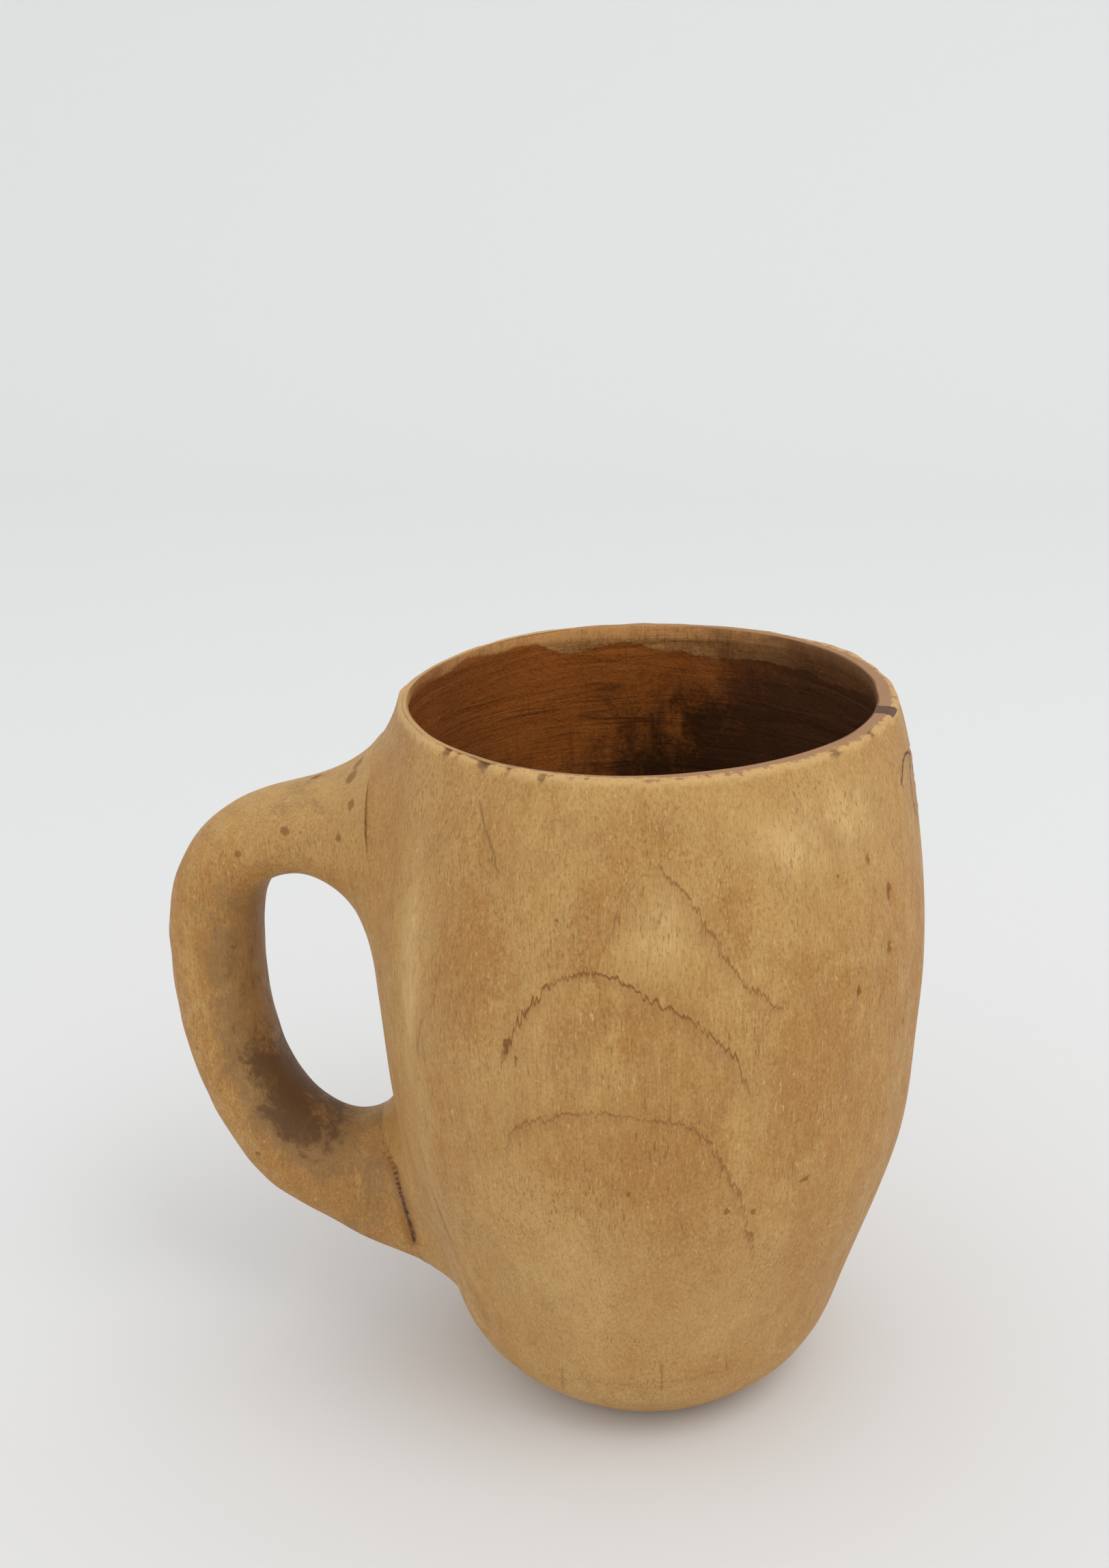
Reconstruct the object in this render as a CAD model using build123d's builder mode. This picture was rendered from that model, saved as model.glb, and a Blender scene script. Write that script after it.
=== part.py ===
from build123d import *
import os

# Carved wooden drinking mug: a barrel-shaped body with a D-shaped side handle let into its wall,
# and the dead knot that sits in the wall opposite the handle.
# Millimetres, +Z up. The origin is the centre of the flat foot. The handle lies in the XZ plane, at -X.

# Driving dimensions of the body.
HEIGHT = 130.0
FOOT_RADIUS = 20.0
HEEL_RADIUS = 34.0  # where the rounded heel runs into the side
HEEL_HEIGHT = 13.0
BELLY_RADIUS = 47.6
BELLY_HEIGHT = 84.0
RIM_RADIUS = 41.6
RIM_ROUNDING = 0.7

# Driving dimensions of the hollow.
FLOOR_HEIGHT = 9.0
FLOOR_RADIUS = 15.0
INNER_HEEL_RADIUS = 31.0
INNER_HEEL_HEIGHT = 24.0
INNER_BELLY_RADIUS = 42.6
INNER_BELLY_HEIGHT = 88.0
MOUTH_RADIUS = 38.9

# Driving dimensions of the handle. Its centreline is two Bezier curves that meet, upright, in mid grip.
UPPER_ROOT = (-38.0, 103.5)
UPPER_REACH = (-63.0, 102.6)
UPPER_BEND = (-79.6, 105.0)
GRIP_MIDDLE = (-79.6, 78.0)
LOWER_BEND = (-79.6, 40.0)
LOWER_REACH = (-70.6, 33.2)
LOWER_ROOT = (-27.0, 24.3)
GRIP_HALF_WIDTH = 9.0  # across the handle, along Y
GRIP_HALF_DEPTH = 7.7  # in the handle's own plane
ROOT_WIDENING = 4.0
UPPER_ROOT_DEEPENING = 8.5
LOWER_ROOT_DEEPENING = 6.5
WIDENING_POWER = 4
UPPER_DEEPENING_POWER = 4
LOWER_DEEPENING_POWER = 3
SECTION_COUNT = 15

# Stub tenons of the handle, and the blind mortises that take them, square to the wall.
TENON_WIDTH = 11.0
TENON_HEIGHT = 15.0
TENON_ROUNDING = 3.0
TENON_DEPTH = 3.0
TENON_LENGTH = 9.0
UPPER_TENON_STATION = 0.775  # how far up the body's side, as a part of its length
LOWER_TENON_STATION = 0.135

# The knot: a plug that tapers inwards through the wall, on the side opposite the handle.
KNOT_LEVEL = 116.0
KNOT_OUTER_RADIUS = 6.4
KNOT_INNER_RADIUS = 4.6
KNOT_START = 34.0
KNOT_END = 50.0


# The body's outer form: a flat foot, a rounded heel, a swelling belly and a drawn-in mouth.
with BuildPart() as outer_form:
    with BuildSketch(Plane.XZ) as outer_section:
        with BuildLine() as outer_line:
            foot = Line((0, 0), (FOOT_RADIUS, 0))
            heel = Spline(
                (FOOT_RADIUS, 0),
                (HEEL_RADIUS, HEEL_HEIGHT),
                tangents=[(1, 0.55), (0.25, 1)],
            )
            side = Spline(
                heel @ 1,
                (BELLY_RADIUS, BELLY_HEIGHT),
                (RIM_RADIUS, HEIGHT),
                tangents=[heel % 1, (-0.28, 1)],
            )
            rim = Line(side @ 1, (0, HEIGHT))
            outer_axis = Line((0, HEIGHT), (0, 0))
        make_face()
    revolve(axis=Axis.Z)

# The hollow, from the dished floor to the mouth.
with BuildPart() as hollow_form:
    with BuildSketch(Plane.XZ) as hollow_section:
        with BuildLine() as hollow_line:
            floor = Line((0, FLOOR_HEIGHT), (FLOOR_RADIUS, FLOOR_HEIGHT))
            inner_heel = Spline(
                floor @ 1,
                (INNER_HEEL_RADIUS, INNER_HEEL_HEIGHT),
                tangents=[(1, 0), (0.35, 1)],
            )
            inner_side = Spline(
                inner_heel @ 1,
                (INNER_BELLY_RADIUS, INNER_BELLY_HEIGHT),
                (MOUTH_RADIUS, HEIGHT),
                tangents=[inner_heel % 1, (-0.16, 1)],
            )
            mouth = Line(inner_side @ 1, (0, HEIGHT))
            hollow_axis = Line((0, HEIGHT), (0, FLOOR_HEIGHT))
        make_face()
    revolve(axis=Axis.Z)

# The tapered knot, before it is trimmed to the wall.
with BuildPart() as knot_taper:
    with BuildSketch(Plane.YZ.offset(KNOT_START)) as knot_inner:
        with Locations((0, KNOT_LEVEL)):
            Circle(KNOT_INNER_RADIUS)
    with BuildSketch(Plane.YZ.offset(KNOT_END)) as knot_outer:
        with Locations((0, KNOT_LEVEL)):
            Circle(KNOT_OUTER_RADIUS)
    loft()


def tenon_plane(station):
    """The end face of a tenon that goes square into the wall, on the handle's side of the body."""
    seat = side @ station
    rise = side % station
    outward = Vector(-rise.Y, 0, -rise.X)
    return Plane(origin=Vector(-seat.X, 0, seat.Y) - outward * TENON_DEPTH, x_dir=(0, 1, 0), z_dir=outward)


# The two tenons, as bars that run out into the handle's roots.
with BuildPart() as tenon_bars:
    for station in (UPPER_TENON_STATION, LOWER_TENON_STATION):
        with BuildSketch(tenon_plane(station)) as tenon_end:
            RectangleRounded(TENON_WIDTH, TENON_HEIGHT, TENON_ROUNDING)
        extrude(amount=TENON_LENGTH)

# Body: the outer form, hollowed, with its knot hole and its two blind mortises.
with BuildPart() as body:
    add(outer_form.part)
    add(hollow_form.part, mode=Mode.SUBTRACT)
    rim_edges = body.edges().filter_by(GeomType.CIRCLE).group_by(Axis.Z)[-1]
    fillet(rim_edges, radius=RIM_ROUNDING)
    add(knot_taper.part, mode=Mode.SUBTRACT)
    add(tenon_bars.part, mode=Mode.SUBTRACT)
body.part.label = "body"

# Knot: the taper, trimmed to the wall's own inner and outer faces.
with BuildPart() as wall_knot:
    add(outer_form.part)
    add(hollow_form.part, mode=Mode.SUBTRACT)
    add(knot_taper.part, mode=Mode.INTERSECT)
wall_knot.part.label = "wall_knot"

# The handle's centreline.
with BuildLine(Plane.XZ) as centreline:
    upper_arm = Bezier(UPPER_ROOT, UPPER_REACH, UPPER_BEND, GRIP_MIDDLE)
    lower_arm = Bezier(GRIP_MIDDLE, LOWER_BEND, LOWER_REACH, LOWER_ROOT)
grip_curve = centreline.wires()[0]

# Handle: a loft of oval sections, wider and deeper towards the two roots, cut back to the body's
# outer face, with its two tenons added.
with BuildPart() as handle:
    for index in range(SECTION_COUNT):
        along = index / (SECTION_COUNT - 1)
        towards_root = abs(2 * along - 1)
        if along < 0.5:
            deepening = UPPER_ROOT_DEEPENING * towards_root**UPPER_DEEPENING_POWER
        else:
            deepening = LOWER_ROOT_DEEPENING * towards_root**LOWER_DEEPENING_POWER
        half_depth = GRIP_HALF_DEPTH + deepening
        half_width = GRIP_HALF_WIDTH + ROOT_WIDENING * towards_root**WIDENING_POWER
        with BuildSketch(Plane(grip_curve @ along, x_dir=(0, 1, 0), z_dir=grip_curve % along)):
            Ellipse(half_width, half_depth)
    loft()
    add(outer_form.part, mode=Mode.SUBTRACT)
    add(tenon_bars.part)
handle.part.label = "handle"

os.makedirs("parts", exist_ok=True)
export_step(body.part, "parts/body.step")
export_step(wall_knot.part, "parts/wall_knot.step")
export_step(handle.part, "parts/handle.step")
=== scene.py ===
import math
import bpy
import numpy as np
from mathutils import Matrix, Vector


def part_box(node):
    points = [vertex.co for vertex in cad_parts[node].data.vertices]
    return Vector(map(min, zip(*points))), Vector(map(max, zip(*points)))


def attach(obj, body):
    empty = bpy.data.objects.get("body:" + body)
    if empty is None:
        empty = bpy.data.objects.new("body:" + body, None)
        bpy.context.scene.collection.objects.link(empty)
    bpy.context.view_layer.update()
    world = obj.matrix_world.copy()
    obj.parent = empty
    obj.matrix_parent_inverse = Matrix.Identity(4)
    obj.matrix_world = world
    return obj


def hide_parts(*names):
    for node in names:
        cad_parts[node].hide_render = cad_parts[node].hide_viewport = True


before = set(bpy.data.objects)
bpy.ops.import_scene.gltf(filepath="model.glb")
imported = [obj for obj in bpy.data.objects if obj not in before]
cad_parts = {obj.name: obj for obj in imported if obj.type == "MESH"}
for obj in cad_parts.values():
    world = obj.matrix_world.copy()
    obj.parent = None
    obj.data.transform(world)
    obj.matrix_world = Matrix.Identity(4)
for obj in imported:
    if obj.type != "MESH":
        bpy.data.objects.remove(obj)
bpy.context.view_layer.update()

mm = 0.001
knotLow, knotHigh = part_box("wall_knot")
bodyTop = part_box("body")[1]
height = bodyTop.z
belly = bodyTop.x  # radius of the body at its widest
print("frame loaded, the body is", round(height / mm), "mm tall")


def smoothStep(low, high, value):  # 0 at low, 1 at high, with a cubic ease in between
    t = np.clip((value - low) / (high - low), 0, 1)
    return t * t * (3 - 2 * t)


def ripple(x, y, z, size, seed, waves=28):
    # a smooth random field of about unit height: many sine waves of nearly one length,
    # each running in its own direction with its own phase, added up
    rng = np.random.default_rng(seed)
    total = np.zeros(np.broadcast(x, y, z).shape)
    for _ in range(waves):
        way = rng.normal(size=3)
        way *= 2 * np.pi / (size * rng.uniform(0.7, 1.5) * np.linalg.norm(way))
        total = total + np.sin(way[0] * x + way[1] * y + way[2] * z + rng.uniform(0, 2 * np.pi))
    return total / math.sqrt(waves / 2)


def naturalSpline(knots, values, at):
    # piecewise cubics through the values, with equal slope and bend where they meet
    knots, values, at = (np.asarray(a, float) for a in (knots, values, at))
    gap = np.diff(knots)
    system, right = np.eye(len(knots)), np.zeros(len(knots))
    for i in range(1, len(knots) - 1):
        system[i, i - 1:i + 2] = gap[i - 1], 2 * (gap[i - 1] + gap[i]), gap[i]
        right[i] = 6 * ((values[i + 1] - values[i]) / gap[i] - (values[i] - values[i - 1]) / gap[i - 1])
    bend = np.linalg.solve(system, right)
    i = np.clip(np.searchsorted(knots, at) - 1, 0, len(knots) - 2)
    a, b = (knots[i + 1] - at) / gap[i], (at - knots[i]) / gap[i]
    cubic = ((a**3 - a) * bend[i] + (b**3 - b) * bend[i + 1]) * gap[i]**2 / 6
    return a * values[i] + b * values[i + 1] + cubic


def curveThrough(across, up, count):
    # a smooth curve through the points, evenly stepped along their chords
    across, up = np.asarray(across, float), np.asarray(up, float)
    along = np.concatenate([[0], np.cumsum(np.hypot(np.diff(across), np.diff(up)))])
    at = np.linspace(0, along[-1], count)
    return naturalSpline(along, across, at), naturalSpline(along, up, at)


def signedDistance(across, up, path):
    # least distance from each point to a chain of straight runs, positive on its left,
    # and how far along the chain that nearest place is, from 0 to 1
    best, side, along = np.full(across.shape, 1e9), np.ones(across.shape), np.zeros(across.shape)
    runs = len(path) - 1
    for i in range(runs):
        (x0, y0), (x1, y1) = path[i], path[i + 1]
        dx, dy = x1 - x0, y1 - y0
        t = np.clip(((across - x0) * dx + (up - y0) * dy) / (dx * dx + dy * dy), 0, 1)
        distance = np.hypot(across - x0 - t * dx, up - y0 - t * dy)
        closer = distance < best
        best = np.where(closer, distance, best)
        side = np.where(closer, np.sign(dx * (up - y0) - dy * (across - x0) + 1e-12), side)
        along = np.where(closer, (i + t) / runs, along)
    return best * side, along


def gridFaces(rows, columns):
    # quads between neighbouring rows of a closed tube, and a fan of triangles at each end;
    # the two poles are the vertices after the grid
    row = np.arange(rows - 1)[:, None] * columns
    column = np.arange(columns)[None, :]
    beside = (column + 1) % columns
    quads = np.stack([row + column, row + beside, row + columns + beside, row + columns + column], -1)
    first, last, end = rows * columns, rows * columns + 1, (rows - 1) * columns
    fans = [(first, (i + 1) % columns, i) for i in range(columns)]
    fans += [(last, end + i, end + (i + 1) % columns) for i in range(columns)]
    return quads.reshape(-1, 4).tolist() + fans


def addMesh(name, grid, poles, fields):
    # one closed mesh, smooth shaded, leant with the cup, with a float attribute for each field; a
    # field is (values on the grid, value at the first pole, value at the last pole)
    rows, columns = grid.shape[:2]
    mesh = bpy.data.meshes.new(name)
    points = np.concatenate([grid.reshape(-1, 3), np.array(poles, float)])
    leant = smoothStep(0, 0.8 * height, points[:, 2])
    points[:, 0] += outline["footShift"] + (outline["topShift"] - outline["footShift"]) * leant
    mesh.from_pydata(points.tolist(), [], gridFaces(rows, columns))
    mesh.polygons.foreach_set("use_smooth", np.ones(len(mesh.polygons), bool))
    for field, (values, first, last) in fields.items():
        spread = np.broadcast_to(values, (rows, columns)).ravel()
        attribute = mesh.attributes.new(field, "FLOAT", "POINT")
        attribute.data.foreach_set("value", np.concatenate([spread, [first, last]]).astype(np.float32))
    mesh.update()
    piece = bpy.data.objects.new(name, mesh)
    bpy.context.scene.collection.objects.link(piece)
    return piece


# the body's outline, shared by body, handle and knot
outline = {
    # shares of the belly's radius and of the height, from the foot's edge up to the mouth
    "outerRadius": (0.412, 0.490, 0.583, 0.678, 0.760, 0.848, 0.946, 0.993, 1.000, 0.956, 0.920, 0.877),
    "outerHeight": (0.000, 0.012, 0.040, 0.079, 0.154, 0.269, 0.400, 0.554, 0.708, 0.846, 0.931, 0.995),
    # from the mouth down to the floor
    "innerRadius": (0.822, 0.866, 0.891, 0.885, 0.840, 0.752, 0.651, 0.560, 0.460, 0.330),
    "innerHeight": (0.996, 0.900, 0.750, 0.600, 0.440, 0.290, 0.185, 0.118, 0.080, 0.069),
    # the cup leans a little towards +X: how far it stands off the axis, at the foot and high up
    "footShift": -0.8 * mm,
    "topShift": 0.4 * mm,
}
outerR, outerZ = curveThrough(
    np.multiply(outline["outerRadius"], belly), np.multiply(outline["outerHeight"], height), 600)
innerR, innerZ = curveThrough(
    np.multiply(outline["innerRadius"], belly), np.multiply(outline["innerHeight"], height), 400)


def outerRadius(z):
    return np.interp(z, outerZ, outerR)


def innerRadius(z):
    return np.interp(-z, -innerZ, innerR)


def turnFrom(angle, degrees):  # signed angle from a direction, in radians
    return (angle - np.radians(degrees) + np.pi) % (2 * np.pi) - np.pi


# the handle's bar and its union with the body
grip = {
    # centreline from the upper root to the lower: distance from the axis and height, both as shares
    # of the body's height, and the section's half depth in mm
    "line": [(0.300, 0.805, 11.4), (0.397, 0.799, 9.9), (0.479, 0.792, 8.1), (0.566, 0.753, 7.8),
             (0.612, 0.621, 8.45), (0.598, 0.455, 8.1), (0.5515, 0.3385, 8.45), (0.480, 0.2745, 9.8),
             (0.354, 0.2265, 11.9), (0.262, 0.201, 12.3)],
    "halfWidth": 9.0 * mm,  # across the handle
    "upperWidening": 4.5 * mm,
    "lowerWidening": 2.0 * mm,
    "squareness": 2.3,  # 2 is an oval
    "steps": 420,
    "around": 132,
    "upperBlend": 16 * mm,  # reach of the hollow curve between handle and body
    "crookBlend": 20.5 * mm,  # on top of the lower arm
    "lowerBlend": 7.5 * mm,
    "sunk": 2.0 * mm,  # the roots end this deep in the wall
    "stride": 0.5 * mm,
    "strides": 44,
    "unevenness": 0.22 * mm,
}


def traceBar():
    # the centreline inside the wall's face at both roots, with the section's two half sizes along it
    out, up, depth = np.array(grip["line"]).T
    chord = np.concatenate([[0], np.cumsum(np.hypot(np.diff(out), np.diff(up)))])
    fine = np.linspace(0, chord[-1], 1200)
    out, up = (naturalSpline(chord, values * height, fine) for values in (out, up))
    depth = naturalSpline(chord, depth * mm, fine)
    keep = outerRadius(up) - out < grip["sunk"]
    out, up, depth = out[keep], up[keep], depth[keep]
    along = np.concatenate([[0], np.cumsum(np.hypot(np.diff(out), np.diff(up)))])
    share = np.linspace(0, 1, grip["steps"])
    out, up, depth = (np.interp(share * along[-1], along, values) for values in (out, up, depth))
    widening = np.where(share < 0.5, grip["upperWidening"], grip["lowerWidening"])
    width = grip["halfWidth"] + widening * np.abs(2 * share - 1)**5
    runOut, runUp = np.gradient(out), np.gradient(up)
    length = np.hypot(runOut, runUp)
    return {"share": share, "out": out, "up": up, "depth": depth, "width": width,
            "sideOut": runUp / length, "sideUp": -runOut / length}  # the side that faces the body


bar = traceBar()


def barReach(depth, width, cosine, sine):  # radius of the squarish oval section in one direction
    power = grip["squareness"]
    return (np.abs(cosine / depth)**power + np.abs(sine / width)**power)**(-1 / power)


def heightAboveBar(x, y, z):
    # from each point to the nearest place on the centreline, less the section's radius that way
    result = np.empty(x.size)
    out, side, up = -x.ravel(), y.ravel(), z.ravel()
    for part in np.array_split(np.arange(out.size), out.size // 20000 + 1):
        square = (out[part, None] - bar["out"])**2 + (up[part, None] - bar["up"])**2
        near = square.argmin(1)
        flat = np.sqrt(square[np.arange(part.size), near])
        radius = np.maximum(np.hypot(flat, side[part]), 1e-6)
        result[part] = radius - barReach(
            bar["depth"][near], bar["width"][near], flat / radius, side[part] / radius)
    return result.reshape(x.shape)


def heightAboveBody(x, y, z):
    return np.hypot(x, y) - outerRadius(z)


def blendReach(z):
    crook = (grip["crookBlend"] - grip["lowerBlend"]) * smoothStep(0.20 * height, 0.31 * height, z)
    return grip["lowerBlend"] + crook + (grip["upperBlend"] - grip["crookBlend"]) * smoothStep(
        0.45 * height, 0.65 * height, z)


def together(first, second, blend):
    # smooth union: the lesser of two distances, rounded off where they differ by less than the blend
    near = np.maximum(blend - np.abs(first - second), 0) / blend
    return np.minimum(first, second) - near * near * blend / 4


def firstExit(start, step, count, fieldAt):
    # walks out from start in equal steps, to where the field first turns positive
    found = np.full(start.shape, np.nan)
    before = fieldAt(start)
    found[before > 0] = start[before > 0]
    for k in range(1, count):
        now = start + k * step
        value = fieldAt(now)
        crossed = np.isnan(found) & (value > 0)
        share = np.clip(-before / np.where(value == before, 1, value - before), 0, 1)
        found[crossed] = (now - step + share * step)[crossed]
        before = value
    return found


seam = {
    "upperHeight": 3.0 * mm,  # where the two pieces meet, above the body's own round
    "lowerHeight": 3.8 * mm,
    "lowestHeight": 6.2 * mm,  # it runs further out on the handle under the lower root
    "crookHeight": 2.4 * mm,  # more on top of the lower arm
    "overlap": 0.30 * mm,
    "crackLow": 0.165 * height,  # the open crack runs down the crease of the lower root
    "crackHigh": 0.365 * height,
    "crackHalf": 0.14 * mm,
}


def seamHeight(z):
    lowest = seam["lowestHeight"] - seam["lowerHeight"]
    crook = seam["crookHeight"] * smoothStep(0.31 * height, 0.36 * height, z) * smoothStep(
        0.50 * height, 0.42 * height, z)
    return (seam["lowerHeight"] + crook + lowest * smoothStep(seam["crackHigh"], seam["crackLow"], z)
            + (seam["upperHeight"] - seam["lowerHeight"]) * smoothStep(0.35 * height, 0.6 * height, z))


def crackOpening(y, z):
    # half the gap between body and handle: open on the -Y side of the lower root, widest low down
    share = np.clip((z - seam["crackLow"]) / (seam["crackHigh"] - seam["crackLow"]), 0, 1)
    profile = np.sqrt(np.sin(np.pi * share**0.8)) * (1 - 0.35 * share)
    ragged = 0.8 + 0.3 * ripple(0 * y, 0 * y, z, 7 * mm, 71)
    return seam["crackHalf"] * profile * ragged * smoothStep(-1 * mm, -6 * mm, y)


body = {
    "around": 400,
    "sideRows": 158,
    "innerRows": 58,
    "crowding": 0.35,  # more columns towards the front than the back
    "front": -82,
    "unevenness": 0.28 * mm,
    "toolMarks": 0.09 * mm,
    "gougePitch": 5.2 * mm,  # soft grooves round the hollow
    "gougeDepth": 0.12 * mm,
    "mouthShift": 0.9 * mm,  # the hollow stands off centre, so the wall is thicker at +X
    "edge": 0.9 * mm,  # the worn outer edge of the mouth
    "lip": 0.35 * mm,  # its inner edge
    "handleSpan": 62,  # the roots stay within so many degrees of -X
    "stride": 0.4 * mm,
    "strides": 24,
    "knotSeat": 1.1 * mm,  # both faces are cut back this far where the knot sits
    # small dents: angle in degrees, then height, half width, half height and depth in mm
    "pits": [
        (-99.3, 108.0, 0.7, 0.8, 0.5), (-42.2, 111.4, 0.6, 0.7, 0.5), (-26.1, 104.5, 0.9, 2.2, 0.7),
        (-33.2, 112.0, 0.6, 1.3, 0.3), (-27.7, 95.8, 0.8, 1.8, 0.7), (-38.2, 91.4, 0.8, 1.7, 0.6),
        (-21.6, 80.5, 0.5, 1.0, 0.3), (-15.4, 119.8, 0.35, 0.9, 0.15), (-5.0, 122.0, 0.7, 0.5, 0.3),
        (-49.5, 60.4, 1.3, 0.7, 0.1), (-66.5, 58.0, 0.7, 0.7, 0.2), (-109.5, 86.1, 0.6, 1.6, 0.7),
        (-107.6, 84.6, 0.5, 1.1, 0.5), (-60.5, 56.5, 0.9, 0.9, 0.4), (-86.0, 61.9, 0.5, 0.5, 0.4),
        (64.0, 84.0, 0.8, 1.6, 0.6), (118.0, 52.0, 0.9, 1.3, 0.5), (27.0, 40.0, 0.7, 1.9, 0.5),
    ],
    # chips out of the mouth's outer edge: angle, half width in degrees, depth in mm
    "chips": [(-130.5, 1.5, 0.6), (-127.0, 1.0, 0.4), (-118.8, 2.0, 0.65), (-112.0, 1.2, 0.4),
              (-103.7, 1.2, 0.5), (-38.0, 2.6, 0.45), (-24.0, 1.4, 0.4), (58.0, 2.2, 0.6),
              (142.0, 1.6, 0.5)],
    "burn": (-8.5, 3.0),  # dark patch across the mouth, above the knot: angle and half width in degrees
    # height in mm of the upper edge of the stain inside, every so many degrees
    "stainTop": [(-180, 128.6), (-150, 127.5), (-110, 126.5), (-60, 126.8), (-20, 126.0), (23, 125.2),
                 (44, 123.6), (67, 124.4), (87, 125.9), (106, 125.3), (126, 127.3), (150, 128.6),
                 (180, 128.6)],
    # tone of the outside: angle, height, half width, half height in mm, paler or darker. The pale strip at
    # -136 degrees is a painted reflection, the pale patch at -48 degrees by the mouth is painted light and
    # the dark patch at -12 degrees is painted shade; the rest is the wood's own tone
    "tone": [
        (-80.5, 107.5, 6, 8, 1.1), (-92, 104, 4, 8, -0.6), (-87, 113, 5, 5, -0.6), (-66, 110, 4, 8, -0.6),
        (-77, 120, 8, 4, -0.5), (-136, 92, 4, 34, 0.8), (-48, 119, 15, 7, 1.0), (-50, 84, 14, 20, -0.4),
        (-116, 99, 6, 9, -1.0), (-92, 92, 12, 5, -0.35), (-84, 66, 16, 8, -0.35), (-100, 40, 14, 26, 0.45),
        (-62, 30, 12, 12, 0.5), (-12, 80, 6, 24, -0.4), (-90, 10, 30, 6, 0.2), (60, 70, 20, 30, 0.4),
        (120, 90, 18, 22, -0.3),
    ],
    # growth lines and hairline checks on the side: each a strength, then points of angle in degrees
    # and height in mm
    "growthLines": [
        (1.0, [(-110.5, 82.0), (-108.6, 88.0), (-105.0, 93.5), (-100.5, 98.0), (-94.2, 100.6),
               (-87.2, 99.4), (-81.6, 96.8), (-75.5, 93.7), (-69.8, 89.5), (-65.9, 84.9), (-62.5, 78.0)]),
        (0.7, [(-111.0, 66.5), (-108.1, 71.7), (-101.4, 75.3), (-90.8, 76.9), (-80.6, 76.4),
               (-73.6, 74.3), (-69.7, 70.1), (-65.3, 62.8), (-61.9, 54.7), (-58.2, 44.6)]),
        (0.7, [(-82.0, 118.2), (-79.0, 116.6), (-76.2, 114.1), (-71.2, 108.6), (-66.9, 101.8),
               (-62.5, 97.0), (-55.5, 92.0)]),
        (0.3, [(-82.5, 117.0), (-86.0, 113.0), (-89.0, 107.0), (-94.0, 99.0)]),
        (0.4, [(-124.5, 98.0), (-126.1, 94.4), (-127.8, 89.7), (-131.2, 84.4), (-133.5, 77.0)]),
        (0.35, [(-117.0, 13.0), (-100.8, 15.5), (-86.6, 16.6), (-73.1, 17.1), (-58.0, 17.5)]),
    ],
    "checks": [
        (0.3, [(-117.8, 124.6), (-116.0, 121.5), (-113.9, 118.0), (-111.8, 113.8)]),
        (0.2, [(-106.4, 18.3), (-107.4, 14.2), (-108.9, 10.6)]),
        (0.25, [(-78.3, 22.6), (-78.0, 18.5), (-77.9, 14.4)]),
        (0.2, [(-60.1, 21.9), (-59.4, 19.5), (-58.8, 16.9)]),
        (1.0, [(-1.0, 119.2), (-2.5, 120.9), (-6.0, 122.3), (-10.0, 122.6), (-13.2, 121.6),
               (-16.2, 119.4)]),
        (0.5, [(-138.0, 48.0), (-137.6, 42.0), (-137.0, 37.0)]),
        (0.15, [(-131.5, 86.0), (-131.3, 81.0), (-131.0, 76.0)]),
        (0.8, [(96.0, 30.0), (96.4, 26.0), (96.5, 22.0)]),
    ],
}


def drawnLines(angle, z, lines):
    # signed distance along the surface in mm to the nearest line, and the line's strength beside it,
    # which fades to 0 past its ends
    best, here = np.full(angle.shape, 99.0), np.zeros(angle.shape)
    for strength, line in lines:
        degrees, level = curveThrough(*np.array(line, float).T, 6 * len(line))
        middle = degrees.mean()
        across = turnFrom(angle, middle) * outerRadius(z) / mm
        path = np.stack([np.radians(degrees - middle) * outerRadius(level * mm) / mm, level], -1)
        distance, along = signedDistance(across, z / mm, path)
        closer = np.abs(distance) < np.abs(best)
        ends = strength * smoothStep(0, 0.08, along) * smoothStep(1, 0.92, along)
        here = np.where(closer, ends * smoothStep(4.5, 3.0, np.abs(distance)), here)
        best = np.where(closer, distance, best)
    return best, here


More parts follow.
